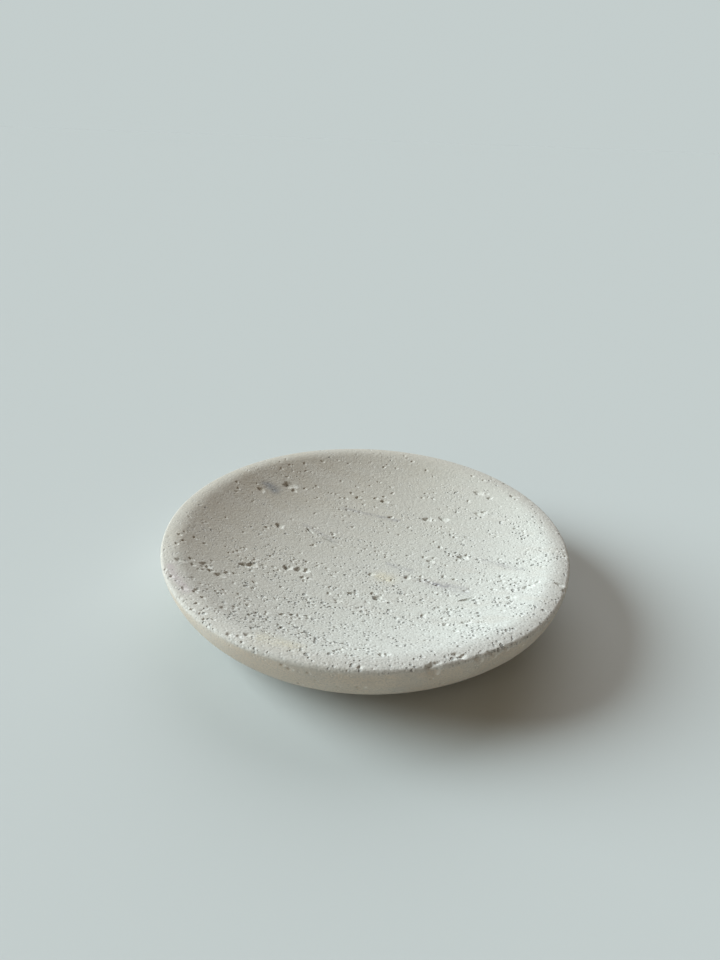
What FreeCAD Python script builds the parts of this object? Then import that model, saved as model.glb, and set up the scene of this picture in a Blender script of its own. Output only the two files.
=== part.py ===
"""Round travertine soap dish: a turned stone bowl on four soft foot pads.

Millimetres, +Z up. The origin is on the surface that the dish stands on, under its centre.
The front of the dish faces -Y.
"""
import FreeCAD, Part
import math
import os

from FreeCAD import Rotation, Vector

# Stone body. The lean and foot angles are the side's, from upright at the lip and from level at the base.
dish_diameter = 120.0
overall_height = 20.0
side_lean_deg = 8.0
side_foot_deg = 12.0

# Lip, from its crest out to the rim and in to the basin
lip_crest_inset = 3.5
lip_outer_turn_deg = 18.0
lip_edge_radius = 1.1
lip_inner_radius = 9.0

# Basin, measured from the crest of the lip
basin_depth = 8.0
basin_floor_radius = 28.0
basin_floor_rise = 1.5

# Foot pads, tapered towards the floor, and the adhesive discs that hold them to the base
pad_diameter = 10.0
pad_taper = 0.5
pad_thickness = 1.5
pad_edge_inset = 6.0
adhesive_thickness = 0.2
adhesive_margin = 0.5
foot_turns_deg = {"back_right": 45, "back_left": 135, "front_left": 225, "front_right": 315}

# Largest natural holes in the stone. Each is a short row of round hollows along the stone's bedding.
bedding_deg = -24.0
small_hollow_radius = 0.95
large_hollow_radius = 1.3
hollow_step_share = 1.15
hollow_lift_share = 0.2

# A hole's place is a share of the dish's radius from the centre, and a turn from +X.
natural_holes = [
    dict(out_share=0.61, turn_deg=197, hollow_radius=large_hollow_radius, hollows=3),
    dict(out_share=0.42, turn_deg=200, hollow_radius=large_hollow_radius, hollows=1),
    dict(out_share=0.35, turn_deg=205, hollow_radius=large_hollow_radius, hollows=2),
    dict(out_share=0.81, turn_deg=197, hollow_radius=small_hollow_radius, hollows=1),
    dict(out_share=0.75, turn_deg=129, hollow_radius=large_hollow_radius, hollows=2),
    dict(out_share=0.79, turn_deg=141, hollow_radius=small_hollow_radius, hollows=1),
    dict(out_share=0.53, turn_deg=156, hollow_radius=small_hollow_radius, hollows=1),
    dict(out_share=0.48, turn_deg=47, hollow_radius=large_hollow_radius, hollows=1),
    dict(out_share=0.54, turn_deg=40, hollow_radius=large_hollow_radius, hollows=1),
    dict(out_share=0.72, turn_deg=30, hollow_radius=small_hollow_radius, hollows=2),
    dict(out_share=0.38, turn_deg=278, hollow_radius=large_hollow_radius, hollows=2),
    dict(out_share=0.61, turn_deg=319, hollow_radius=small_hollow_radius, hollows=2),
]

dish_radius = dish_diameter / 2
base_height = pad_thickness + adhesive_thickness


def heading(degrees):
    """Unit vector in the half section, turned that far from outwards towards down."""
    turn = math.radians(degrees)
    return Vector(math.cos(turn), 0, -math.sin(turn))


def arc_on(start, from_deg, to_deg, radius):
    """Arc of that radius that leaves start at one heading and ends at the other, and its end point."""
    centre = start + heading(from_deg + 90) * radius
    middle = centre - heading((from_deg + to_deg) / 2 + 90) * radius
    end = centre - heading(to_deg + 90) * radius
    return Part.Arc(start, middle, end).toShape(), end


def basin_edges(crest):
    """Floor, flank and inner lip as tangent arcs, from the axis out to the lip's crest."""
    floor_low = Vector(0, 0, crest.z - basin_depth)
    floor_end = floor_low + Vector(basin_floor_radius, 0, basin_floor_rise)
    half_slope = math.atan2(basin_floor_rise, basin_floor_radius)
    floor_radius = basin_floor_radius / math.sin(2 * half_slope)
    floor_centre = floor_low + Vector(0, 0, floor_radius)
    floor_middle = floor_centre + heading(90 - math.degrees(half_slope)) * floor_radius

    # The flank's circle touches the floor's at its end, and the inner lip's circle from outside.
    inward = (floor_centre - floor_end).normalize()
    lip_centre = crest - Vector(0, 0, lip_inner_radius)
    from_lip = floor_end - lip_centre
    beyond_lip = from_lip.dot(from_lip) - lip_inner_radius ** 2
    flank_radius = beyond_lip / (2 * (lip_inner_radius - from_lip.dot(inward)))
    flank_centre = floor_end + inward * flank_radius
    to_lip = (lip_centre - flank_centre).normalize()
    lip_start = flank_centre + to_lip * flank_radius
    flank_middle = flank_centre + (to_lip - inward).normalize() * flank_radius
    lip_middle = lip_centre + (Vector(0, 0, 1) - to_lip).normalize() * lip_inner_radius
    return [
        Part.Arc(floor_low, floor_middle, floor_end).toShape(),
        Part.Arc(floor_end, flank_middle, lip_start).toShape(),
        Part.Arc(lip_start, lip_middle, crest).toShape(),
    ]


def outer_edges(crest):
    """Outer lip, rounded rim and curved side, from the crest down to the edge of the base."""
    turn = math.sin(math.radians(lip_outer_turn_deg))
    lip_outer_radius = (lip_crest_inset - lip_edge_radius * (1 - turn)) / turn
    side_deg = 90 + side_lean_deg
    foot_deg = 180 - side_foot_deg
    lip, rim_start = arc_on(crest, 0, lip_outer_turn_deg, lip_outer_radius)
    rim, side_start = arc_on(rim_start, lip_outer_turn_deg, side_deg, lip_edge_radius)
    side_radius = (side_start.z - base_height) / (heading(side_deg).x - heading(foot_deg).x)
    side, base_edge = arc_on(side_start, side_deg, foot_deg, side_radius)
    return [lip, rim, side], base_edge


def stone_section():
    """Closed half section of the stone, and the radius of its flat base."""
    crest = Vector(dish_radius - lip_crest_inset, 0, overall_height)
    basin = basin_edges(crest)
    outer, base_edge = outer_edges(crest)
    base_centre = Vector(0, 0, base_height)
    floor_low = Vector(0, 0, overall_height - basin_depth)
    closing = [
        Part.LineSegment(base_edge, base_centre).toShape(),
        Part.LineSegment(base_centre, floor_low).toShape(),
    ]
    return Part.Face(Part.Wire(basin + outer + closing)), base_edge.x


def round_axis(point, degrees):
    """The point, turned about the dish's axis."""
    return Rotation(Vector(0, 0, 1), degrees).multVec(point)


def hollow_row(stone, out_share, turn_deg, hollow_radius, hollows):
    """Round hollows in a row along the bedding, each with its middle near the stone's surface."""
    middle = round_axis(Vector(dish_radius * out_share, 0, 0), turn_deg)
    step = round_axis(Vector(hollow_radius * hollow_step_share, 0, 0), bedding_deg)
    row = []
    for place in range(hollows):
        under = middle + step * (place - (hollows - 1) / 2)
        upright = Part.LineSegment(under, under + Vector(0, 0, overall_height)).toShape()
        surface = upright.common(stone).BoundBox.ZMax
        centre = under + Vector(0, 0, surface + hollow_radius * hollow_lift_share)
        row.append(Part.makeSphere(hollow_radius, centre))
    return row


def stone_dish(section):
    """The turned stone, with its largest natural holes cut in."""
    turned = section.revolve(Vector(0, 0, 0), Vector(0, 0, 1), 360)
    hollows = [hollow for hole in natural_holes for hollow in hollow_row(turned, **hole)]
    return turned.cut(hollows)


def foot_pad(centre):
    """Soft tapered pad, standing on the surface at centre."""
    return Part.makeCone(pad_diameter / 2 - pad_taper, pad_diameter / 2, pad_thickness, centre)


def pad_adhesive(centre):
    """Thin disc between the pad's top and the stone's base."""
    radius = pad_diameter / 2 - adhesive_margin
    return Part.makeCylinder(radius, adhesive_thickness, centre + Vector(0, 0, pad_thickness))


def build():
    """Every piece of the dish, by node name."""
    section, base_radius = stone_section()
    pad_reach = Vector(base_radius - pad_edge_inset - pad_diameter / 2, 0, 0)
    pieces = {"stone_dish": stone_dish(section)}
    for place, turn_deg in foot_turns_deg.items():
        centre = round_axis(pad_reach, turn_deg)
        pieces["foot_pad_" + place] = foot_pad(centre)
        pieces["pad_adhesive_" + place] = pad_adhesive(centre)
    return pieces


os.makedirs("parts", exist_ok=True)
for node, shape in build().items():
    print(node, len(shape.Solids), "solids", round(shape.Volume, 1), "cubic mm, valid", shape.isValid())
    shape.exportStep(f"parts/{node}.step")
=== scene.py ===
"""Looks of the round travertine soap dish: pitted stone, clear foot pads, pale floor and soft light.

The stone is worked out in millimetres in the part's own frame, and becomes metres where its mesh is made.
"""
import math

import bpy
import numpy as np
from mathutils import Matrix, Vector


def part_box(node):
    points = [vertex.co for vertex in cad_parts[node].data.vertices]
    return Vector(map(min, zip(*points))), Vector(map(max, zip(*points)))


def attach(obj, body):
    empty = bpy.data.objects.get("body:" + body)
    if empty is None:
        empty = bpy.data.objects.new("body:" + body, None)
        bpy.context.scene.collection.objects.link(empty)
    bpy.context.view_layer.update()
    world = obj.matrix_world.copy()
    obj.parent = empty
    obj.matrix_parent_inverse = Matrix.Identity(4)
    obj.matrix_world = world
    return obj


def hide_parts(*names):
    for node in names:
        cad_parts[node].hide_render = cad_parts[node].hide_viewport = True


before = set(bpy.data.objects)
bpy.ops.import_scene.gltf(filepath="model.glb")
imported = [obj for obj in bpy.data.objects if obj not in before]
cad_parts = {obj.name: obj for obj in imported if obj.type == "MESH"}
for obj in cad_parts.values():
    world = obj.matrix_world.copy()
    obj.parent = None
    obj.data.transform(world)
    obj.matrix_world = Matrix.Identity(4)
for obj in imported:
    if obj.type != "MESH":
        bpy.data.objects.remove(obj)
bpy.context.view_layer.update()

# Metres in a millimetre, and the stone's outer sizes in millimetres from the frame
MM = 0.001
stone_low, stone_high = (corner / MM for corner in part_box("stone_dish"))
dish_radius = (stone_high.x - stone_low.x) / 2
crest_height = stone_high.z
base_height = stone_low.z

# The rest of its half section, in millimetres and degrees. The outer lip is flatter than in the solids.
side_lean_deg = 8.0
side_foot_deg = 12.0
lip_crest_inset = 3.5
lip_outer_turn_deg = 8.0
lip_edge_radius = 1.1
lip_inner_radius = 9.0
basin_depth = 8.0
basin_floor_radius = 28.0
basin_floor_rise = 1.5

# Photograph's frame and the camera's place before the dish, in pixels, millimetres and degrees
photo_width_px = 720
photo_height_px = 960
focal_px = 720.9
camera_back = 185.2
camera_height = 134.5
camera_yaw_deg = -0.71
camera_pitch_deg = 27.66
camera_roll_deg = 2.13
sensor_mm = 36.0
near_clip_share = 0.05
sight_step = 0.05

# Mesh: spacing of the plain stone in millimetres, and how finely holes and tints are divided
plain_spacing = 1.6
fewest_in_ring = 6
ring_turn_deg = 11.0
hole_spacing_share = 0.1
finest_spacing = 0.16
tint_spacing = 0.4
split_ratio = 1.4
split_rounds = 6
samples_per_stretch = 300

# Bake map: radius and middles of its two discs, as shares of its side
bake_radius_share = 0.285
bake_top_share = 0.29
bake_underside_share = 0.71

# Natural holes: the stone's bedding, depths as shares of a hole's width, and how a hole is grown, leant,
# ragged and lit by a painted highlight at its gentle end
seed = 11
bedding_deg = -24.0
seen_depth_share = 0.36
crack_depth_share = 0.75
scattered_depth_share = 0.34
chance_depth_shares = (0.8, 1.2)
deepest_hole = 1.4
bowl_power = 1.15
worn_growth_share = 1.35
lean_share = 0.6
highlight_reach_share = 0.7
ragged_shares = {2: 0.16, 3: 0.13, 5: 0.08}
reach_share = 1.3

# Holes seen in the photograph: pixel, then length along the bedding and width in millimetres
seen_holes = {
    "blue_patch_left": ((260, 489), 2.2, 1.6),
    "blue_patch_right": ((287, 484), 3.6, 2.5),
    "blue_patch_tail": ((293, 490), 1.6, 1.2),
    "back_left_single": ((238, 488), 1.0, 0.9),
    "left_ledge": ((278, 525), 2.4, 1.8),
    "left_ledge_small": ((266, 527), 1.1, 0.9),
    "left_vein_side": ((313, 545), 1.2, 1.0),
    "long_left_lobe": ((243, 564), 2.2, 1.7),
    "long_right_lobe": ((250, 564), 2.6, 2.1),
    "pair_left": ((286, 567), 2.1, 2.2),
    "pair_right": ((298, 569), 2.7, 2.2),
    "pair_right_end": ((305, 570), 1.8, 1.6),
    "pair_under": ((302, 577), 1.2, 1.2),
    "left_lip_long": ((178, 559), 2.6, 1.4),
    "left_lip_small": ((192, 564), 1.2, 1.2),
    "left_flank_upper": ((203, 563), 2.4, 1.6),
    "left_flank_upper_end": ((207, 566), 1.6, 1.4),
    "left_flank_middle": ((210, 570), 1.4, 1.2),
    "left_flank_lower": ((218, 574), 2.4, 1.6),
    "left_flank_lower_end": ((226, 572), 1.4, 1.2),
    "left_flank_last": ((234, 573), 1.6, 1.0),
    "left_floor_single": ((254, 582), 1.2, 1.0),
    "back_middle_first": ((345, 498), 1.2, 1.0),
    "back_middle_second": ((351, 493), 1.0, 0.9),
    "back_middle_third": ((357, 497), 1.6, 1.2),
    "back_middle_fourth": ((363, 504), 1.0, 0.9),
    "back_middle_fifth": ((375, 498), 1.2, 0.9),
    "back_middle_long": ((383, 501), 2.0, 1.4),
    "back_middle_last": ((392, 493), 1.0, 1.0),
    "vein_end": ((390, 517), 1.4, 1.3),
    "deep_left": ((426, 519), 2.2, 2.0),
    "deep_between": ((433, 520), 1.2, 0.8),
    "deep_right": ((442, 519), 2.4, 1.8),
    "back_right_soft": ((477, 493), 2.8, 1.6),
    "back_right_single": ((489, 498), 1.4, 1.2),
    "right_cluster": ((477, 514), 2.6, 1.4),
    "right_cluster_end": ((483, 512), 1.8, 1.0),
    "back_right_lip": ((512, 496), 2.2, 1.2),
    "middle_right": ((461, 557), 2.4, 1.8),
    "middle_right_low": ((457, 560), 1.2, 1.0),
    "middle_right_high": ((466, 555), 1.2, 1.0),
    "middle_first": ((423, 557), 1.2, 1.0),
    "middle_second": ((429, 561), 1.8, 1.4),
    "middle_third": ((433, 558), 1.0, 0.9),
    "middle_high": ((439, 547), 1.4, 1.0),
    "front_vein_first": ((406, 577), 1.6, 1.4),
    "front_vein_second": ((420, 579), 1.2, 0.8),
    "front_vein_third": ((429, 582), 1.0, 0.8),
    "front_vein_fourth": ((436, 585), 1.0, 0.8),
    "centre_single": ((370, 574), 1.6, 1.2),
    "front_first": ((351, 593), 1.8, 1.5),
    "front_second": ((372, 593), 1.4, 1.2),
    "front_large": ((376, 598), 2.6, 2.0),
    "front_large_end": ((382, 600), 1.4, 1.0),
    "front_third": ((336, 600), 1.8, 1.2),
    "front_fourth": ((328, 593), 1.0, 1.0),
    "front_right_first": ((422, 615), 1.4, 1.2),
    "front_right_second": ((442, 618), 1.0, 0.9),
    "front_right_third": ((444, 624), 1.4, 1.2),
    "front_right_fourth": ((463, 622), 1.4, 1.3),
    "right_flank_first": ((492, 589), 1.2, 0.9),
    "right_flank_second": ((508, 597), 1.8, 1.2),
    "right_flank_third": ((524, 587), 2.2, 1.2),
    "right_flank_fourth": ((530, 585), 1.2, 0.9),
    "row_first": ((266, 612), 1.0, 0.8),
    "row_second": ((281, 614), 1.3, 1.1),
    "row_third": ((291, 614), 1.3, 1.0),
    "row_fourth": ((298, 615), 1.4, 1.0),
    "row_last": ((307, 616), 1.0, 0.8),
    "front_left_flank": ((222, 607), 1.4, 1.1),
    "front_left_lip": ((196, 589), 1.2, 1.0),
    "front_left_rim_first": ((228, 634), 1.8, 1.0),
    "front_left_rim_second": ((238, 636), 1.2, 0.9),
    "front_left_rim_third": ((246, 634), 2.0, 1.0),
    "front_lip_first": ((340, 649), 0.9, 0.8),
    "front_lip_second": ((356, 649), 1.0, 0.9),
    "front_lip_third": ((380, 654), 1.2, 1.1),
    "front_lip_fourth": ((386, 654), 1.2, 1.1),
    "rim_chip_first": ((430, 666), 3.0, 1.8),
    "rim_chip_second": ((436, 663), 1.6, 1.2),
    "rim_chip_third": ((455, 654), 2.0, 1.2),
    "rim_chip_fourth": ((461, 656), 1.6, 1.2),
    "rim_chip_fifth": ((477, 657), 2.0, 1.4),
    "rim_chip_sixth": ((491, 652), 2.2, 1.2),
    "rim_chip_last": ((504, 646), 1.6, 1.0),
    "right_rim_first": ((558, 584), 2.0, 1.4),
    "right_rim_second": ((562, 590), 1.2, 1.0),
    "left_rim_first": ((179, 534), 1.1, 0.9),
    "left_rim_second": ((176, 543), 1.2, 0.9),
    "left_rim_third": ((183, 540), 1.0, 0.8),
    "left_rim_fourth": ((194, 537), 1.3, 0.9),
    "left_rim_fifth": ((204, 543), 1.0, 0.8),
    "left_rim_sixth": ((190, 558), 1.4, 1.0),
    "left_rim_seventh": ((171, 576), 1.2, 0.9),
    "left_rim_eighth": ((183, 588), 1.6, 1.1),
    "left_rim_ninth": ((194, 591), 1.2, 0.9),
    "left_rim_last": ((202, 597), 1.1, 0.9),
    "back_rim_first": ((281, 468), 1.0, 0.8),
    "back_rim_second": ((304, 463), 1.2, 0.9),
    "back_rim_third": ((322, 461), 1.2, 0.9),
    "back_rim_fourth": ((426, 470), 1.0, 0.8),
    "back_rim_fifth": ((472, 476), 1.0, 0.8),
    "back_rim_last": ((483, 480), 1.1, 0.8),
    "side_front": ((358, 688), 2.2, 1.2),
    "side_front_small": ((337, 687), 1.0, 0.7),
    "side_left_first": ((288, 669), 1.6, 0.8),
    "side_left_second": ((281, 665), 1.2, 0.8),
    "side_left_third": ((307, 673), 1.0, 0.8),
    "side_crack": ((391, 693), 2.4, 0.8),
}

# Cracks seen in the photograph: pixels of the two ends, and width in millimetres
seen_cracks = {
    "left_upper": ((304, 526), (314, 534), 1.0),
    "left_lower": ((321, 537), (338, 544), 0.9),
    "front_right": ((456, 601), (471, 598), 1.2),
}

# Scattered holes: how many, a cluster's spread and a hole's length in millimetres, and where fewer stay
loose_holes = 450
basin_clusters = 65
holes_in_cluster = 10
cluster_along = 5.0
cluster_across = 1.3
side_holes = 150
base_holes = 60
scattered_range = (0.65, 1.5)
scattered_wide_shares = (0.6, 0.95)
lip_keep_share = 0.8
back_keep_share = 0.45
thinning_shares = (-0.2, 0.5)
lip_inner_edge_share = 0.88

# Tinted stretches seen in the photograph: pixels of the two ends, half width in millimetres and strength
grey_veins = {
    "back_vein": ((345, 509), (398, 521), 1.6, 0.55),
    "left_vein": ((304, 524), (336, 543), 1.4, 0.35),
    "centre_vein": ((388, 564), (412, 570), 1.3, 0.50),
    "front_vein": ((422, 582), (464, 591), 2.6, 0.50),
    "front_vein_core": ((434, 585), (448, 588), 1.8, 1.00),
    "right_vein": ((484, 561), (522, 569), 1.6, 0.45),
}
blue_patches = {"back_left_calcite": ((267, 484), (275, 490), 3.4, 0.90)}
rose_patches = {"left_lip_rose": ((170, 566), (186, 592), 2.4, 0.70)}
yellow_patches = {
    "centre_yellow": ((381, 575), (388, 579), 4.0, 0.80),
    "front_left_cream": ((262, 636), (296, 646), 4.0, 0.55),
}
pale_scratches = {"right_lip_scratch": ((557, 551), (566, 559), 0.6, 1.00)}
tints = {
    "vein": grey_veins,
    "blue": blue_patches,
    "rose": rose_patches,
    "yellow": yellow_patches,
    "pale": pale_scratches,
}
tint_core_share = 0.2
tint_reach_share = 2.0
tint_wander = 2.4

# Unevenness of the hand-finished outline: turn and spread in degrees, and share of the radius
outline_swells = {"front_right": (-42, 16, 0.014), "back": (88, 28, -0.009)}

# Hand-worked unevenness of the turned surface, in millimetres
wobble_height = 0.05
wobble_lengths = (9.0, 14.0, 23.0)

# How pores, and the painted light and shade on the top, change across it: their value in its middle, and
# over a radius each way
pitted_shares = {"middle": 0.7, "front": 0.5, "right": 0.15}
painted_lit_shares = {"middle": 0.5, "front": 0.38, "right": 0.32}
least_pitted_share = 0.1

# Stone colours in sRGB, out of 255
# The basin and lip colours paint light and shade: the lit ones, cool and bright, go to the front and right,
# the shaded ones, warm and dark, to the back and left
basin_painted_lit = (211, 215, 210)
basin_painted_shade = (174, 164, 149)
lip_painted_lit = (211, 210, 205)
lip_painted_shade = (187, 180, 166)
cloud_grey = (184, 182, 176)
side_light = (212, 201, 185)
side_dark = (199, 186, 169)
band_cream = (194, 190, 181)
# Dust and painted shade deep in the holes
hole_dust_and_shade = (142, 140, 132)
speck_grey = (166, 164, 158)
# Dust and painted shade in the pores
pore_dust_and_shade = (100, 100, 95)
# Painted highlight on the lit side of pores and holes
highlight_white = (240, 240, 236)
vein_grey = (136, 133, 138)
calcite_blue = (116, 119, 126)
stain_rose = (178, 164, 166)
stain_yellow = (204, 196, 172)
scratch_pale = (246, 245, 240)
tint_colours = {
    "vein": vein_grey,
    "blue": calcite_blue,
    "rose": stain_rose,
    "yellow": stain_yellow,
    "pale": scratch_pale,
}

# Patterns in the stone: waves to a millimetre along, across and through its bedding, fineness, and the
# stretch of their values that shows
patterns = {
    "cloud": dict(waves=(0.045, 0.07, 0.07), turn_deg=bedding_deg, detail=6.0, shown=(0.35, 0.68)),
    "bands": dict(waves=(0.02, 0.20, 0.25), turn_deg=bedding_deg, detail=5.0, shown=(0.50, 0.72)),
    "breakup": dict(waves=(0.35, 0.9, 0.9), turn_deg=bedding_deg, detail=5.0, shown=(0.32, 0.60)),
    "rows": dict(waves=(0.05, 0.25, 0.25), turn_deg=bedding_deg, detail=3.0, shown=(0.35, 0.65)),
    "specks": dict(waves=(2.2, 2.2, 2.2), turn_deg=0.0, detail=2.0, shown=(0.42, 0.72)),
}
noise_roughness = 0.55
cloud_strength = 0.35
band_strength = 0.6
speck_strength = 0.65
patch_breakup_share = 0.55

# Pores too small for the mesh: spacing in millimetres, widest radius as a share of it, and how often
main_pores = [dict(spacing=1.0, widest_share=0.42), dict(spacing=1.8, widest_share=0.34)]
fine_pores = [dict(spacing=0.75, widest_share=0.5)]
pore_row_chance = 0.3
fewer_pores_chance = 0.6
fine_pore_chance = 0.3
least_pore_chance = 0.4
pore_edge_share = 0.16

# A pore's painted highlight on its lit side, in spacings from its middle, and how strongly the painted
# highlights and the pores' and holes' dust and painted shade are coloured
main_highlight_shift = (0.4, -0.08, 0.0)
fine_highlight_shift = (0.45, -0.1, 0.0)
main_highlight_strength = 0.5
main_pore_strength = 0.55
fine_highlight_strength = 0.3
fine_pore_strength = 0.28
dust_and_shade_depth_shares = (0.35, 0.8)
dust_and_shade_strength = 0.8

# Fine relief of the stone: waves to a millimetre and heights in millimetres, and how rough lip and side are
relief_waves = (0.6, 0.6, 0.6)
relief_detail = 4.0
relief_height = 0.16
grain_waves = (1.3, 1.3, 1.3)
grain_detail = 3.0
grain_roughness = 0.6
grain_height = 0.2
grain_strength = 0.8
pore_depth = 0.4
lip_rough_share = 0.8
side_rough_share = 0.3
dull_cloud_range = (0.3, 0.7)
stone_roughness = (0.72, 0.9)

# Pads and film: roughness, how much light passes, clouding, and the pads' rounded edge in millimetres
pad_roughness = 0.35
pad_clear_share = 0.35
film_roughness = 0.5
film_clear_share = 0.2
soft_cloud_waves = (0.6, 0.6, 0.6)
soft_cloud_detail = 3.0
soft_fine_waves = (3.0, 3.0, 3.0)
soft_fine_detail = 2.0
soft_fine_range = (0.3, 0.7)
soft_roughness_spread = 0.15
soft_bump_strength = 0.2
soft_bump_height = 0.03
pad_bevel = 0.25
pad_bevel_steps = 3

# Colours of the pads, their film and the floor, and the floor's size in metres
pad_light = (222, 225, 223)
pad_dark = (200, 205, 203)
film_light = (226, 222, 208)
film_dark = (208, 203, 188)
floor_colour = (199, 205, 205)
floor_size = 6.0

# Lamps: plan direction to each, its height and softness in degrees, its light on a level surface and colour
cool_light = (236, 249, 253)
pale_light = (248, 251, 255)
warm_light = (255, 245, 232)
lamps = {
    "left_glow": dict(toward=(-0.98, 0.18), height_deg=25, soft_deg=40, level=0.68, colour=cool_light),
    "back_glow": dict(toward=(0.10, 1.00), height_deg=32, soft_deg=60, level=0.23, colour=pale_light),
    "front_glow": dict(toward=(-0.40, -0.90), height_deg=18, soft_deg=60, level=0.035, colour=warm_light),
}
fill_level = 0.145
fill_colour = (255, 224, 184)


def unit(vector):
    """The vector at length one."""
    return np.asarray(vector, float) / np.linalg.norm(vector)


def turned(degrees):
    """Unit vector at that angle: in the half section up from outwards, in plan from +X."""
    return np.array([math.cos(math.radians(degrees)), math.sin(math.radians(degrees))])


def degrees_of(vector):
    """How far a vector in the half section lies up from outwards."""
    return math.degrees(math.atan2(vector[1], vector[0]))


def arc(centre, radius, from_deg, to_deg):
    """A round stretch of the half section: its points, and the spacing that its rings need."""
    turns = np.linspace(from_deg, to_deg, samples_per_stretch)
    points = np.array([centre + turned(turn) * radius for turn in turns])
    return points, min(plain_spacing, radius * math.radians(ring_turn_deg))


def basin_stretches(crest):
    """Floor, flank and inner lip of the basin, as tangent arcs."""
    half_slope = math.atan2(basin_floor_rise, basin_floor_radius)
    slope_deg = math.degrees(2 * half_slope)
    floor_curve = basin_floor_radius / math.sin(2 * half_slope)
    floor_low = np.array([0.0, crest[1] - basin_depth])
    floor_end = floor_low + [basin_floor_radius, basin_floor_rise]
    inward = turned(90 + slope_deg)
    lip_centre = crest - [0, lip_inner_radius]
    from_lip = floor_end - lip_centre
    beyond_lip = from_lip @ from_lip - lip_inner_radius ** 2
    flank_curve = beyond_lip / (2 * (lip_inner_radius - from_lip @ inward))
    flank_centre = floor_end + inward * flank_curve
    to_lip = unit(lip_centre - flank_centre)
    return [
        arc(floor_low + [0, floor_curve], floor_curve, -90, slope_deg - 90),
        arc(flank_centre, flank_curve, slope_deg - 90, degrees_of(to_lip)),
        arc(lip_centre, lip_inner_radius, degrees_of(-to_lip), 90),
    ]


def outer_stretches(crest):
    """Outer lip, rim, side and base, from the crest to the middle of the underside."""
    turn = math.sin(math.radians(lip_outer_turn_deg))
    lip_curve = (lip_crest_inset - lip_edge_radius * (1 - turn)) / turn
    lip_centre = crest - [0, lip_curve]
    rim_deg = 90 - lip_outer_turn_deg
    rim_centre = lip_centre + turned(rim_deg) * (lip_curve - lip_edge_radius)
    side_start = rim_centre + turned(-side_lean_deg) * lip_edge_radius
    drop = math.cos(math.radians(side_foot_deg)) - math.sin(math.radians(side_lean_deg))
    side_curve = (side_start[1] - base_height) / drop
    side_centre = side_start - turned(-side_lean_deg) * side_curve
    side = arc(side_centre, side_curve, -side_lean_deg, side_foot_deg - 90)
    base = np.linspace(side[0][-1], [0.0, base_height], samples_per_stretch)
    return [
        arc(lip_centre, lip_curve, 90, rim_deg),
        arc(rim_centre, lip_edge_radius, rim_deg, -side_lean_deg),
        side,
        (base, plain_spacing),
    ]


class Section:
    """The stone's half section as one line, measured along itself from the basin's centre."""

    def __init__(self):
        crest = np.array([dish_radius - lip_crest_inset, crest_height])
        stretches = basin_stretches(crest) + outer_stretches(crest)
        points = np.vstack([stretches[0][0][:1]] + [points[1:] for points, _ in stretches])
        steps = np.linalg.norm(np.diff(points, axis=0), axis=1)
        self.along = np.concatenate([[0], np.cumsum(steps)])
        self.out, self.up = points.T
        tangent = np.gradient(points, self.along, axis=0)
        self.normal_out, self.normal_up = -tangent[:, 1], tangent[:, 0]
        self.length = self.along[-1]
        ends = self.along[::samples_per_stretch - 1]
        self.rings = [0.0]
        for start, end, (_, spacing) in zip(ends[:-1], ends[1:], stretches):
            count = max(1, math.ceil((end - start) / spacing))
            self.rings += list(np.linspace(start, end, count + 1)[1:])
        self.widest = self.along[np.argmax(self.out)]

    def points(self, along, direction):
        """Points on the surface at those distances along the section, in those plan directions."""
        out = np.interp(along, self.along, self.out)
        return np.column_stack([direction * out[:, None], np.interp(along, self.along, self.up)])

    def normals(self, along, direction):
        """Outward normals of the surface there."""
        out = np.interp(along, self.along, self.normal_out)
        return np.column_stack([direction * out[:, None], np.interp(along, self.along, self.normal_up)])

    def nearest(self, point):
        """Distance along the section of the surface nearest to a point, and the point's plan direction."""
        out = math.hypot(point[0], point[1])
        gap = (self.out - out) ** 2 + (self.up - point[2]) ** 2
        return self.along[np.argmin(gap)], np.array([point[0], point[1]]) / out

    def holds(self, points):
        """Which points are inside the stone."""
        top = self.along <= self.widest
        out = np.hypot(points[:, 0], points[:, 1])
        under_top = points[:, 2] < np.interp(out, self.out[top], self.up[top])
        inside_side = out < np.interp(points[:, 2], self.up[~top][::-1], self.out[~top][::-1])
        return (out < dish_radius) & under_top & (inside_side | (points[:, 2] > self.up[~top][0]))


def camera_axes():
    """The camera's right, up and forward directions."""
    yaw, pitch, roll = (math.radians(a) for a in (camera_yaw_deg, camera_pitch_deg, camera_roll_deg))
    forward = np.array([math.sin(yaw) * math.cos(pitch), math.cos(yaw) * math.cos(pitch), -math.sin(pitch)])
    level = np.array([math.cos(yaw), -math.sin(yaw), 0.0])
    upright = np.cross(level, forward)
    right = level * math.cos(roll) + upright * math.sin(roll)
    return right, np.cross(right, forward), forward


def seen_point(section, pixel):
    """The point of the stone that shows at a pixel of the photograph."""
    right, upward, forward = camera_axes()
    across = (pixel[0] - photo_width_px / 2) / focal_px
    down = (pixel[1] - photo_height_px / 2) / focal_px
    ray = forward + right * across - upward * down
    eye = np.array([0.0, -camera_back, camera_height])
    nearest, furthest = camera_back - dish_radius * 2, camera_back + dish_radius * 2
    points = eye + np.outer(np.arange(nearest, furthest, sight_step), ray)
    hits = np.flatnonzero(section.holds(points))
    return points[hits[0]]


class Finder:
    """Points sorted by their first coordinate, so that those near a place are found quickly."""

    def __init__(self, points):
        self.points = points
        self.order = np.argsort(points[:, 0])
        self.first = points[self.order, 0]

    def near(self, centre, reach):
        """Numbers of the points within reach of a centre along every axis."""
        start, end = np.searchsorted(self.first, [centre[0] - reach, centre[0] + reach])
        some = self.order[start:end]
        return some[(np.abs(self.points[some] - centre) < reach).all(axis=1)]


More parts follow.
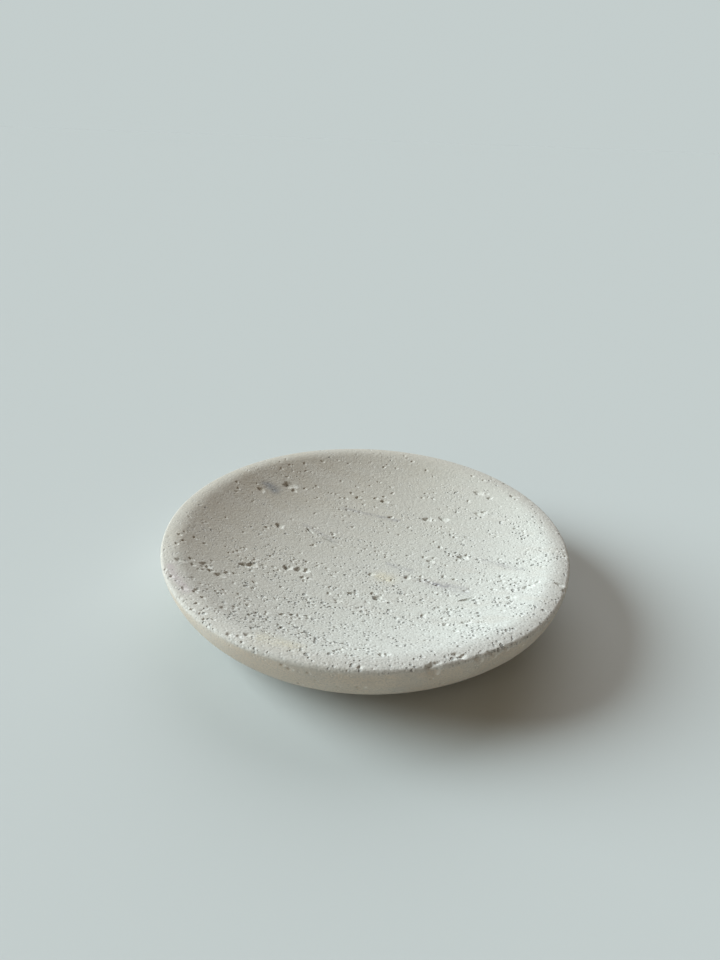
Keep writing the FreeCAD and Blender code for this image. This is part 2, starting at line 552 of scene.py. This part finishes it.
class Hole:
    """One hollow in the surface: a ragged bowl along the bedding, steep at one end and sloping gently at
    the other, which takes a painted highlight.
    """

    def __init__(self, section, place, length, width, depth_share, rng, axis=None):
        along, direction = np.array([place[0]]), place[1][None]
        normal = section.normals(along, direction)[0]
        axis = np.array([*turned(bedding_deg), 0.0]) if axis is None else axis
        self.long_axis = unit(axis - normal * (axis @ normal))
        self.wide_axis = np.cross(normal, self.long_axis)
        self.half_long, self.half_wide = length / 2, width / 2
        to_middle = self.long_axis * self.half_long * lean_share / (1 + lean_share)
        self.centre = section.points(along, direction)[0] + to_middle
        self.depth = min(deepest_hole, width * depth_share * rng.uniform(*chance_depth_shares))
        self.phases = {waves: rng.uniform(0, 2 * math.pi) for waves in ragged_shares}
        self.spacing = max(finest_spacing, width * hole_spacing_share)

    def near(self, finder, slack=0.0):
        """Numbers of the points in or near the hole, and their places as shares of the way to its edge."""
        some = finder.near(self.centre, (max(self.half_long, self.half_wide) + slack) * reach_share)
        offset = finder.points[some] - self.centre
        u = offset @ self.long_axis / (self.half_long + slack)
        v = offset @ self.wide_axis / (self.half_wide + slack)
        turn = np.arctan2(v, u)
        edge = 1 + sum(share * np.sin(n * turn + self.phases[n]) for n, share in ragged_shares.items())
        inside = np.hypot(u, v) < reach_share * edge
        return some[inside], (u / edge)[inside], (v / edge)[inside]

    def depths(self, u, v):
        """How deep the hole is at those places, with its deepest point towards its steep end."""
        inward = 1 - np.minimum(np.hypot(u, v), 1)
        out = np.hypot(u + lean_share * inward, v)
        return self.depth * (1 - np.minimum(out, 1) ** bowl_power)

    def highlight_at(self, u, v):
        """How strongly a painted highlight lightens those places: most at the gently sloping lit end, just
        inside the edge.
        """
        from_end = (1 - u) * self.half_long / self.half_wide
        end_share = np.clip(1 - from_end / highlight_reach_share, 0, 1)
        return end_share * np.clip((reach_share - np.hypot(u, v)) / (reach_share - 1), 0, 1)


def scattered(section, rng, place):
    """A small hole of chance size at a place, more often a very small one."""
    shortest, longest = scattered_range
    length = shortest + (longest - shortest) * rng.uniform() ** 2
    width = length * rng.uniform(*scattered_wide_shares)
    return Hole(section, place, length, width, scattered_depth_share, rng)


def crack(section, rng, start_pixel, end_pixel, width):
    """A long narrow hole between two pixels of the photograph."""
    start, end = seen_point(section, start_pixel), seen_point(section, end_pixel)
    place = section.nearest((start + end) / 2)
    return Hole(section, place, np.linalg.norm(end - start), width, crack_depth_share, rng, end - start)


def top_place(section, spot):
    """Distance along the section, and plan direction, of the top surface over a spot in plan."""
    top = section.along <= section.widest
    out = math.hypot(*spot)
    return np.interp(out, section.out[top], section.along[top]), np.asarray(spot) / out


def keeps(rng, spot):
    """Whether a chance hole stays: fewer of them break the smooth lip and the back of the basin."""
    out_share, back_share = math.hypot(*spot) / dish_radius, spot[1] / dish_radius
    keep_share = np.interp(back_share, thinning_shares, [1.0, back_keep_share])
    if out_share > lip_inner_edge_share:
        keep_share *= lip_keep_share
    return out_share < 1 and rng.uniform() < keep_share


def basin_spots(rng):
    """Plan spots of the chance holes on top: loose ones, and clusters drawn out along the bedding."""
    def anywhere():
        return turned(rng.uniform(0, 360)) * dish_radius * math.sqrt(rng.uniform())

    spots = [anywhere() for _ in range(loose_holes)]
    along, across = turned(bedding_deg), turned(bedding_deg + 90)
    for _ in range(basin_clusters):
        middle = anywhere()
        for _ in range(rng.poisson(holes_in_cluster)):
            offset = along * rng.normal(0, cluster_along) + across * rng.normal(0, cluster_across)
            spots.append(middle + offset)
    return [spot for spot in spots if keeps(rng, spot)]


def all_holes(section):
    """Every hole in the stone: those seen in the photograph, and chance ones over the rest."""
    rng = np.random.default_rng(seed)
    holes = []
    for pixel, length, width in seen_holes.values():
        place = section.nearest(seen_point(section, pixel))
        grown = length * worn_growth_share, width * worn_growth_share
        holes.append(Hole(section, place, *grown, seen_depth_share, rng))
    holes += [crack(section, rng, *ends_and_width) for ends_and_width in seen_cracks.values()]
    holes += [scattered(section, rng, top_place(section, spot)) for spot in basin_spots(rng)]
    side_end = section.along[-samples_per_stretch]
    stretches = (side_holes, section.widest, side_end), (base_holes, side_end, section.length)
    for count, start, end in stretches:
        for _ in range(count):
            place = rng.uniform(start, end), turned(rng.uniform(0, 360))
            holes.append(scattered(section, rng, place))
    return holes


def ring_faces(inner, outer):
    """Triangles between two rings of evenly spaced vertex numbers."""
    faces, a, b = [], 0, 0
    while a < len(inner) or b < len(outer):
        corner = inner[a % len(inner)], outer[b % len(outer)]
        if a == len(inner) or (b < len(outer) and (b + 1) * len(inner) <= (a + 1) * len(outer)):
            b += 1
            faces.append((*corner, outer[b % len(outer)]))
        else:
            a += 1
            faces.append((*corner, inner[a % len(inner)]))
    return [face for face in faces if len(set(face)) == 3]


def plain_stone(section):
    """Even mesh of the turned stone: distance along the section and plan direction by vertex, and faces."""
    along, direction, faces, last = [], [], [], []
    for distance in section.rings:
        out = np.interp(distance, section.along, section.out)
        count = max(fewest_in_ring, round(2 * math.pi * out / plain_spacing))
        if out <= plain_spacing / 2:
            count = 1
        ring = list(range(len(along), len(along) + count))
        along += [distance] * count
        direction += [turned(360 * place / count) for place in range(count)]
        if last:
            faces += ring_faces(last, ring)
        last = ring
    return np.array(along), np.array(direction), np.array(faces)


def tint_distance(points, start, end):
    """Distance of points from the line between two points."""
    line = end - start
    share = np.clip((points - start) @ line / (line @ line), 0, 1)
    return np.linalg.norm(points - start - share[:, None] * line, axis=1)


def tint_places(section):
    """Ends, half width and strength of every tinted stretch, by tint."""
    def place(start, end, width, strength):
        return seen_point(section, start), seen_point(section, end), width, strength

    return {tint: [place(*stretch) for stretch in stretches.values()] for tint, stretches in tints.items()}


def wanted_spacing(points, holes, places, slack):
    """How long a mesh edge may be at each point."""
    wanted = np.full(len(points), np.inf)
    for stretches in places.values():
        for start, end, width, _ in stretches:
            near = tint_distance(points, start, end) < tint_reach_share * width
            wanted[near] = tint_spacing
    finder = Finder(points)
    for hole in holes:
        near, _, _ = hole.near(finder, slack)
        wanted[near] = np.minimum(wanted[near], hole.spacing)
    return wanted


def split_faces(faces, middles):
    """Faces after splitting: middles gives each face's three edge middles, or -1 for an edge left whole."""
    kept = []
    count = (middles >= 0).sum(axis=1)
    for splits in range(4):
        some, mids = faces[count == splits], middles[count == splits]
        if splits in (1, 2):
            first_split, after_whole = np.argmax(mids >= 0, axis=1), (np.argmax(mids < 0, axis=1) + 1) % 3
            first = first_split if splits == 1 else after_whole
            order = (np.arange(3) + first[:, None]) % 3
            some, mids = np.take_along_axis(some, order, 1), np.take_along_axis(mids, order, 1)
        (a, b, c), (ab, bc, ca) = some.T, mids.T
        new = {
            0: [(a, b, c)],
            1: [(a, ab, c), (ab, b, c)],
            2: [(ab, b, bc), (a, ab, bc), (a, bc, c)],
            3: [(a, ab, ca), (ab, b, bc), (ca, bc, c), (ab, bc, ca)],
        }[splits]
        kept += [np.column_stack(corners) for corners in new]
    return np.vstack(kept)


def refine(section, along, direction, faces, holes, places):
    """Splits edges round holes and tints until they are short enough there."""
    for splits in range(split_rounds):
        points = section.points(along, direction)
        edges = np.sort(faces[:, [0, 1, 1, 2, 2, 0]].reshape(-1, 2), axis=1)
        edges, which = np.unique(edges, axis=0, return_inverse=True)
        start, end = points[edges[:, 0]], points[edges[:, 1]]
        slack = plain_spacing / 2 ** (splits + 1)
        wanted = wanted_spacing((start + end) / 2, holes, places, slack)
        long = np.linalg.norm(end - start, axis=1) > split_ratio * wanted
        numbers = np.full(len(edges), -1)
        numbers[long] = len(along) + np.arange(long.sum())
        middle = (start + end)[long, :2]
        along = np.concatenate([along, along[edges[long]].mean(axis=1)])
        direction = np.vstack([direction, middle / np.linalg.norm(middle, axis=1)[:, None]])
        faces = split_faces(faces, numbers[which].reshape(-1, 3))
    return along, direction, faces


def hole_values(points, holes):
    """Depth of the deepest hole at each point, and how strongly a painted highlight lightens the point."""
    depth, painted_highlight = np.zeros(len(points)), np.zeros(len(points))
    finder = Finder(points)
    for hole in holes:
        near, u, v = hole.near(finder)
        depth[near] = np.maximum(depth[near], hole.depths(u, v))
        painted_highlight[near] = np.maximum(painted_highlight[near], hole.highlight_at(u, v))
    return depth, painted_highlight


def wobble(points):
    """Slow unevenness of a hand-finished surface, never above the turned shape."""
    rng = np.random.default_rng(seed)
    height = np.zeros(len(points))
    for length in wobble_lengths:
        wave = unit(rng.normal(size=3)) * 2 * math.pi / length
        height += np.sin(points @ wave + rng.uniform(0, 2 * math.pi))
    return wobble_height * (height / len(wobble_lengths) - 1) / 2


def swelled(points):
    """The points, with the outline's unevenness."""
    turn_deg = np.degrees(np.arctan2(points[:, 1], points[:, 0]))
    growth = sum(share * np.exp(-((turn_deg - middle) / spread) ** 2)
                 for middle, spread, share in outline_swells.values())
    out_share = np.hypot(points[:, 0], points[:, 1]) / dish_radius
    return points * np.column_stack([1 + growth * out_share ** 2] * 2 + [np.ones(len(points))])


def bake_map(mesh, section, along, direction, faces):
    """Lays the top and the underside out as two discs."""
    reach = max(section.widest, section.length - section.widest)
    on_top = along[faces].mean(axis=1) <= section.widest
    distance = np.where(on_top[:, None], along[faces], section.length - along[faces])
    from_middle = direction[faces] * (distance / reach * bake_radius_share)[..., None]
    middle = np.where(on_top, bake_top_share, bake_underside_share)[:, None, None]
    mesh.uv_layers.new(name="OFBake").data.foreach_set("uv", (middle + from_middle).ravel())


def add_values(mesh, name, values):
    """Gives each vertex a value that the material reads."""
    mesh.attributes.new(name, "FLOAT", "POINT").data.foreach_set("value", values.astype(np.float32))


def across_top(points, shares):
    """A value that changes evenly over the dish, from its middle to the right and to the front."""
    right, front = points[:, 0] / dish_radius, -points[:, 1] / dish_radius
    return shares["middle"] + shares["right"] * right + shares["front"] * front


def add_zones(mesh, section, along, points):
    """Marks the side and the basin, where the stone is pitted, and how much painted light or painted shade
    its top takes.
    """
    pitted = np.clip(across_top(points, pitted_shares), least_pitted_share, 1)
    add_values(mesh, "pitted", np.where(along < section.widest, pitted, least_pitted_share))
    # Painted light and shade: high where the top is painted as lit, cool and bright, low where it is
    # painted as shaded, warm and dark
    add_values(mesh, "painted_lit_share", np.clip(across_top(points, painted_lit_shares), 0, 1))
    # The side begins in the middle of the rim's edge, and the basin inside the lip's crest.
    add_values(mesh, "side", np.clip((along - section.widest) / lip_edge_radius + 0.5, 0, 1))
    add_values(mesh, "basin", np.clip((section.widest - along) / lip_crest_inset - 1, 0, 1))


def add_tints(mesh, points, uneven, places):
    """Marks the tinted stretches, each along a line that wanders a little."""
    wandered = points + np.outer(uneven / wobble_height + 0.5, [0, tint_wander, 0])
    for tint, stretches in places.items():
        value = np.zeros(len(points))
        for start, end, width, strength in stretches:
            inside = np.clip(1 + tint_core_share - tint_distance(wandered, start, end) / width, 0, 1)
            value = np.maximum(value, strength * inside ** 2)
        add_values(mesh, tint, value)


def carved_stone():
    """The stone dish as one mesh with every hole in it."""
    section = Section()
    holes, places = all_holes(section), tint_places(section)
    along, direction, faces = refine(section, *plain_stone(section), holes, places)
    rest = section.points(along, direction)
    depth, painted_highlight = hole_values(rest, holes)
    uneven = wobble(rest)
    points = rest - section.normals(along, direction) * (depth - uneven)[:, None]
    mesh = bpy.data.meshes.new("travertine_dish")
    mesh.from_pydata(swelled(points) * MM, [], faces)
    mesh.shade_smooth()
    bake_map(mesh, section, along, direction, faces)
    add_values(mesh, "hole", np.clip(depth / deepest_hole, 0, 1))
    # Painted highlight at the lit end of every hole
    add_values(mesh, "painted_highlight", painted_highlight)
    add_zones(mesh, section, along, rest)
    add_tints(mesh, rest, uneven, places)
    print("stone", len(points), "vertices", len(faces), "faces", len(holes), "holes")
    stone = bpy.data.objects.new("travertine_dish", mesh)
    bpy.context.scene.collection.objects.link(stone)
    return stone


def linear(colour):
    """A colour written in sRGB, as the linear numbers that shaders take."""
    shares = [part / 255 for part in colour]
    return [s / 12.92 if s <= 0.04045 else ((s + 0.055) / 1.055) ** 2.4 for s in shares] + [1.0]


class Shader:
    """A material's node tree, with short ways to add to it."""

    def __init__(self, name):
        self.material = bpy.data.materials.new(name)
        self.material.use_nodes = True
        self.tree = self.material.node_tree
        self.surface = self.tree.nodes["Principled BSDF"]

    def node(self, kind, **values):
        """A new node with its sockets set or linked by name."""
        made = self.tree.nodes.new(kind)
        for name, value in values.items():
            self.put(made, name.replace("_", " "), value)
        return made

    def put(self, node, socket, value):
        """Sets a socket to a number or links it to another node's socket."""
        if isinstance(value, bpy.types.NodeSocket):
            self.tree.links.new(value, node.inputs[socket])
        else:
            node.inputs[socket].default_value = value

    def mapped(self, scale, turn_deg=0.0, shift=(0, 0, 0)):
        """Object coordinates in millimetres, turned about the dish's axis, scaled and shifted."""
        coordinates = self.node("ShaderNodeTexCoord").outputs["Object"]
        turned_by = self.node("ShaderNodeMapping", Vector=coordinates)
        turned_by.inputs["Rotation"].default_value = (0, 0, math.radians(-turn_deg))
        scaled = self.node("ShaderNodeMapping", Vector=turned_by.outputs["Vector"])
        scaled.inputs["Scale"].default_value = [part / MM for part in scale]
        scaled.inputs["Location"].default_value = [-part for part in shift]
        return scaled.outputs["Vector"]

    def noise(self, coordinates, detail, roughness=noise_roughness):
        """Cloudy values."""
        values = dict(Vector=coordinates, Scale=1.0, Detail=detail, Roughness=roughness)
        return self.node("ShaderNodeTexNoise", **values).outputs["Fac"]

    def span(self, value, low, high, to_low=0.0, to_high=1.0):
        """Stretches values between low and high to another range, and holds them there."""
        made = self.node("ShaderNodeMapRange", Value=value)
        ends = {"From Min": low, "From Max": high, "To Min": to_low, "To Max": to_high}
        for name, end in ends.items():
            made.inputs[name].default_value = end
        return made.outputs["Result"]

    def maths(self, operation, first, second):
        """One operation on two values."""
        made = self.node("ShaderNodeMath")
        made.operation = operation
        self.put(made, 0, first)
        self.put(made, 1, second)
        return made.outputs["Value"]

    def mix(self, share, first, second):
        """Mixes two colours."""
        made = self.node("ShaderNodeMix")
        made.data_type = "RGBA"
        sockets = {s.name: s for s in made.inputs if s.enabled}
        for name, value in (("Factor", share), ("A", first), ("B", second)):
            if isinstance(value, bpy.types.NodeSocket):
                self.tree.links.new(value, sockets[name])
            else:
                sockets[name].default_value = value
        return next(s for s in made.outputs if s.enabled)

    def value_of(self, name):
        """A value that the mesh holds at each vertex."""
        made = self.node("ShaderNodeAttribute")
        made.attribute_name = name
        return made.outputs["Fac"]

    def bump(self, height, strength, distance, under=None):
        """Normal of a surface raised by height, over another bump if one is given."""
        made = self.node("ShaderNodeBump", Height=height, Strength=strength, Distance=distance * MM)
        if under is not None:
            self.put(made, "Normal", under)
        return made.outputs["Normal"]


def pattern_noise(shader, name):
    """Noise of one of the stone's patterns, over its whole range."""
    values = patterns[name]
    return shader.noise(shader.mapped(values["waves"], values["turn_deg"]), values["detail"])


def pattern(shader, name, weakest=0.0, strongest=1.0):
    """The stretch that shows of one of the stone's patterns, between its weakest and its strongest."""
    return shader.span(pattern_noise(shader, name), *patterns[name]["shown"], weakest, strongest)


def pores_of_size(shader, spacing, widest_share, chance, shift):
    """Pores of one size, one to a cell of that spacing: 1 in the middle of a pore and 0 beside it."""
    coordinates = shader.mapped((1 / spacing,) * 3, 0, shift)
    cells = shader.node("ShaderNodeTexVoronoi", Vector=coordinates, Scale=1.0)
    luck = shader.node("ShaderNodeSeparateColor", Color=cells.outputs["Color"]).outputs["Red"]
    radius = shader.span(shader.maths("ADD", luck, chance), least_pore_chance, 1.0, 0.0, widest_share)
    inside = shader.maths("SUBTRACT", radius, cells.outputs["Distance"])
    return shader.span(inside, 0.0, pore_edge_share)


def pores(shader, sizes, chance, shift=(0, 0, 0)):
    """Pores of several sizes together."""
    together = 0.0
    for size in sizes:
        some = pores_of_size(shader, **size, chance=chance, shift=shift)
        together = shader.maths("MAXIMUM", together, some)
    return together


def pore_chance(shader):
    """How often pores come: in rows along the bedding, and more where the stone is pitted."""
    rows = pattern(shader, "rows", -pore_row_chance, pore_row_chance)
    pitted = shader.span(shader.value_of("pitted"), 0.0, 1.0, -fewer_pores_chance, 0.0)
    return shader.maths("ADD", rows, pitted)


def plain_colour(shader, basin, side, cloud):
    """Clouded and banded stone with painted light and shade: cooler and brighter in front and on the right,
    warmer and darker at the back and on the left, and warmer on the side.
    """
    painted_lit_share, mottle = shader.value_of("painted_lit_share"), shader.span(cloud, *patterns["cloud"]["shown"])
    # Lip and basin take painted light towards the front and right, and painted shade towards the back and
    # left
    lip_colour = shader.mix(painted_lit_share, linear(lip_painted_shade), linear(lip_painted_lit))
    basin_colour = shader.mix(painted_lit_share, linear(basin_painted_shade), linear(basin_painted_lit))
    side_colour = shader.mix(mottle, linear(side_dark), linear(side_light))
    top_colour = shader.mix(basin, lip_colour, basin_colour)
    clouds = shader.span(mottle, 0.0, 1.0, cloud_strength, 0.0)
    top_colour = shader.mix(clouds, top_colour, linear(cloud_grey))
    colour = shader.mix(side, top_colour, side_colour)
    return shader.mix(pattern(shader, "bands", 0.0, band_strength), colour, linear(band_cream))


def tinted(shader, colour):
    """The colour with veins, patches, stains and scratches over it."""
    vein_breakup = pattern(shader, "breakup")
    patch_breakup = shader.span(vein_breakup, 0.0, 1.0, patch_breakup_share, 1.0)
    for tint, shade in tint_colours.items():
        breakup = vein_breakup if tint == "vein" else patch_breakup
        share = shader.maths("MULTIPLY", shader.value_of(tint), breakup)
        colour = shader.mix(share, colour, linear(shade))
    return colour


def pitted_colour(shader, colour, pored, chance):
    """The colour with grey specks, pores darkened with dust and painted shade, painted highlights on their
    lit sides and at the lit ends of holes, and dust and painted shade in deep holes.
    """
    often = shader.maths("ADD", chance, fine_pore_chance)
    # Painted highlights: the pores shifted towards their lit side, and the lit ends of the holes
    painted_highlight = pores(shader, main_pores, chance, main_highlight_shift)
    painted_highlight = shader.maths("MAXIMUM", painted_highlight, shader.value_of("painted_highlight"))
    layers = [
        (pores(shader, fine_pores, often, fine_highlight_shift), fine_highlight_strength, highlight_white),
        (pores(shader, fine_pores, often), fine_pore_strength, pore_dust_and_shade),
        (painted_highlight, main_highlight_strength, highlight_white),
        (pored, main_pore_strength, pore_dust_and_shade),
    ]
    colour = shader.mix(pattern(shader, "specks", 0.0, speck_strength), colour, linear(speck_grey))
    for share, strength, shade in layers:
        colour = shader.mix(shader.maths("MULTIPLY", share, strength), colour, linear(shade))
    # Dust and painted shade deep in the holes
    dust_and_shade = shader.span(shader.value_of("hole"), *dust_and_shade_depth_shares, 0.0, dust_and_shade_strength)
    return shader.mix(dust_and_shade, colour, linear(hole_dust_and_shade))


def stone_relief(shader, basin, side, pored):
    """Normal of the stone's fine relief: slow swells, grain and pores, smoother on the lip and the side."""
    rough_top = shader.span(basin, 0.0, 1.0, lip_rough_share, 1.0)
    rough_side = shader.span(side, 0.0, 1.0, 1.0, side_rough_share)
    rough = shader.maths("MULTIPLY", rough_top, rough_side)
    swells = shader.noise(shader.mapped(relief_waves), relief_detail)
    grain = shader.noise(shader.mapped(grain_waves), grain_detail, grain_roughness)
    normal = shader.bump(swells, rough, relief_height)
    normal = shader.bump(grain, shader.maths("MULTIPLY", rough, grain_strength), grain_height, normal)
    return shader.bump(shader.maths("SUBTRACT", 1.0, pored), rough, pore_depth, normal)


def travertine():
    """Cream stone with soft bands along its bedding, grey veins, stains, holes and fine pores with dust,
    painted shade and painted highlights, and painted light and shade across the top.
    """
    shader = Shader("travertine")
    basin, side = shader.value_of("basin"), shader.value_of("side")
    cloud, chance = pattern_noise(shader, "cloud"), pore_chance(shader)
    pored = pores(shader, main_pores, chance)
    colour = tinted(shader, plain_colour(shader, basin, side, cloud))
    shader.put(shader.surface, "Base Color", pitted_colour(shader, colour, pored, chance))
    shader.put(shader.surface, "Roughness", shader.span(cloud, *dull_cloud_range, *stone_roughness))
    shader.put(shader.surface, "Normal", stone_relief(shader, basin, side, pored))
    return shader.material


def clouded(name, dark, light, roughness, clear_share):
    """A soft clear material with faint clouding and a finely uneven gloss."""
    shader = Shader(name)
    cloud = shader.noise(shader.mapped(soft_cloud_waves), soft_cloud_detail)
    shader.put(shader.surface, "Base Color", shader.mix(cloud, linear(dark), linear(light)))
    fine = shader.noise(shader.mapped(soft_fine_waves), soft_fine_detail)
    roughest = roughness + soft_roughness_spread
    shader.put(shader.surface, "Roughness", shader.span(fine, *soft_fine_range, roughness, roughest))
    shader.put(shader.surface, "Normal", shader.bump(fine, soft_bump_strength, soft_bump_height))
    shader.put(shader.surface, "Transmission Weight", clear_share)
    return shader.material


def dress(piece, material):
    """Gives a CAD piece its material."""
    piece.data.materials.clear()
    piece.data.materials.append(material)


def add_feet():
    """Clear pads with rounded edges, and the film above them."""
    pad = clouded("clear_silicone", pad_dark, pad_light, pad_roughness, pad_clear_share)
    film = clouded("adhesive_film", film_dark, film_light, film_roughness, film_clear_share)
    for node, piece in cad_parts.items():
        if node.startswith("foot_pad_"):
            dress(piece, pad)
            rounded = piece.modifiers.new("rounded_edge", "BEVEL")
            rounded.width = pad_bevel * MM
            rounded.segments = pad_bevel_steps
        elif node.startswith("pad_adhesive_"):
            dress(piece, film)


def add_floor():
    """Plain pale floor under the dish."""
    half = floor_size / 2
    mesh = bpy.data.meshes.new("floor")
    corners = [(-half, -half, 0), (half, -half, 0), (half, half, 0), (-half, half, 0)]
    mesh.from_pydata(corners, [], [(0, 1, 2, 3)])
    floor = bpy.data.objects.new("floor", mesh)
    bpy.context.scene.collection.objects.link(floor)
    shader = Shader("floor")
    shader.put(shader.surface, "Base Color", linear(floor_colour))
    shader.put(shader.surface, "Roughness", 1.0)
    shader.put(shader.surface, "Specular IOR Level", 0.0)
    mesh.materials.append(shader.material)


def add_lamp(name, toward, height_deg, soft_deg, level, colour):
    """Broad soft daylight from one side."""
    height = math.radians(height_deg)
    light = bpy.data.lights.new(name, "SUN")
    light.energy = level * math.pi / math.sin(height)
    light.angle = math.radians(soft_deg)
    light.color = linear(colour)[:3]
    lamp = bpy.data.objects.new(name, light)
    aim = -np.array([*unit(toward) * math.cos(height), math.sin(height)])
    side = unit(np.cross(aim, [0, 0, 1]))
    lamp.matrix_world = Matrix(np.column_stack([side, np.cross(side, aim), -aim]).tolist()).to_4x4()
    bpy.context.scene.collection.objects.link(lamp)


def level_light():
    """Light that falls on the level floor, by colour."""
    light = np.array(linear(fill_colour)) * fill_level
    for lamp in lamps.values():
        light += np.array(linear(lamp["colour"])) * lamp["level"]
    return light


def add_world():
    """Faint warm fill from all round, with a pale backdrop where the camera looks past the floor."""
    world = bpy.data.worlds.new("studio")
    world.use_nodes = True
    bpy.context.scene.world = world
    nodes, links = world.node_tree.nodes, world.node_tree.links
    nodes.clear()
    fill, backdrop = nodes.new("ShaderNodeBackground"), nodes.new("ShaderNodeBackground")
    fill.inputs["Color"].default_value = linear(fill_colour)
    fill.inputs["Strength"].default_value = fill_level
    backdrop.inputs["Color"].default_value = np.array(linear(floor_colour)) * level_light()
    path = nodes.new("ShaderNodeLightPath")
    seen = path.outputs["Is Camera Ray"]
    for ray in ("Is Glossy Ray", "Is Transmission Ray"):
        either = nodes.new("ShaderNodeMath")
        either.operation = "MAXIMUM"
        links.new(seen, either.inputs[0])
        links.new(path.outputs[ray], either.inputs[1])
        seen = either.outputs["Value"]
    chosen, output = nodes.new("ShaderNodeMixShader"), nodes.new("ShaderNodeOutputWorld")
    links.new(seen, chosen.inputs[0])
    links.new(fill.outputs["Background"], chosen.inputs[1])
    links.new(backdrop.outputs["Background"], chosen.inputs[2])
    links.new(chosen.outputs["Shader"], output.inputs["Surface"])


def add_camera():
    """Camera at the photograph's viewing angle."""
    data = bpy.data.cameras.new("camera")
    data.sensor_width = sensor_mm
    data.lens = focal_px / photo_height_px * sensor_mm
    data.clip_start = camera_back * MM * near_clip_share
    camera = bpy.data.objects.new("camera", data)
    right, upward, forward = camera_axes()
    pose = Matrix(np.column_stack([right, upward, -forward]).tolist()).to_4x4()
    pose.translation = (0, -camera_back * MM, camera_height * MM)
    camera.matrix_world = pose
    bpy.context.scene.collection.objects.link(camera)
    bpy.context.scene.camera = camera


stone = carved_stone()
stone.data.materials.append(travertine())
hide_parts("stone_dish")
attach(stone, "root")
add_feet()
add_floor()
for name, lamp in lamps.items():
    add_lamp(name, **lamp)
add_world()
add_camera()
bpy.context.scene.view_settings.view_transform = "Standard"
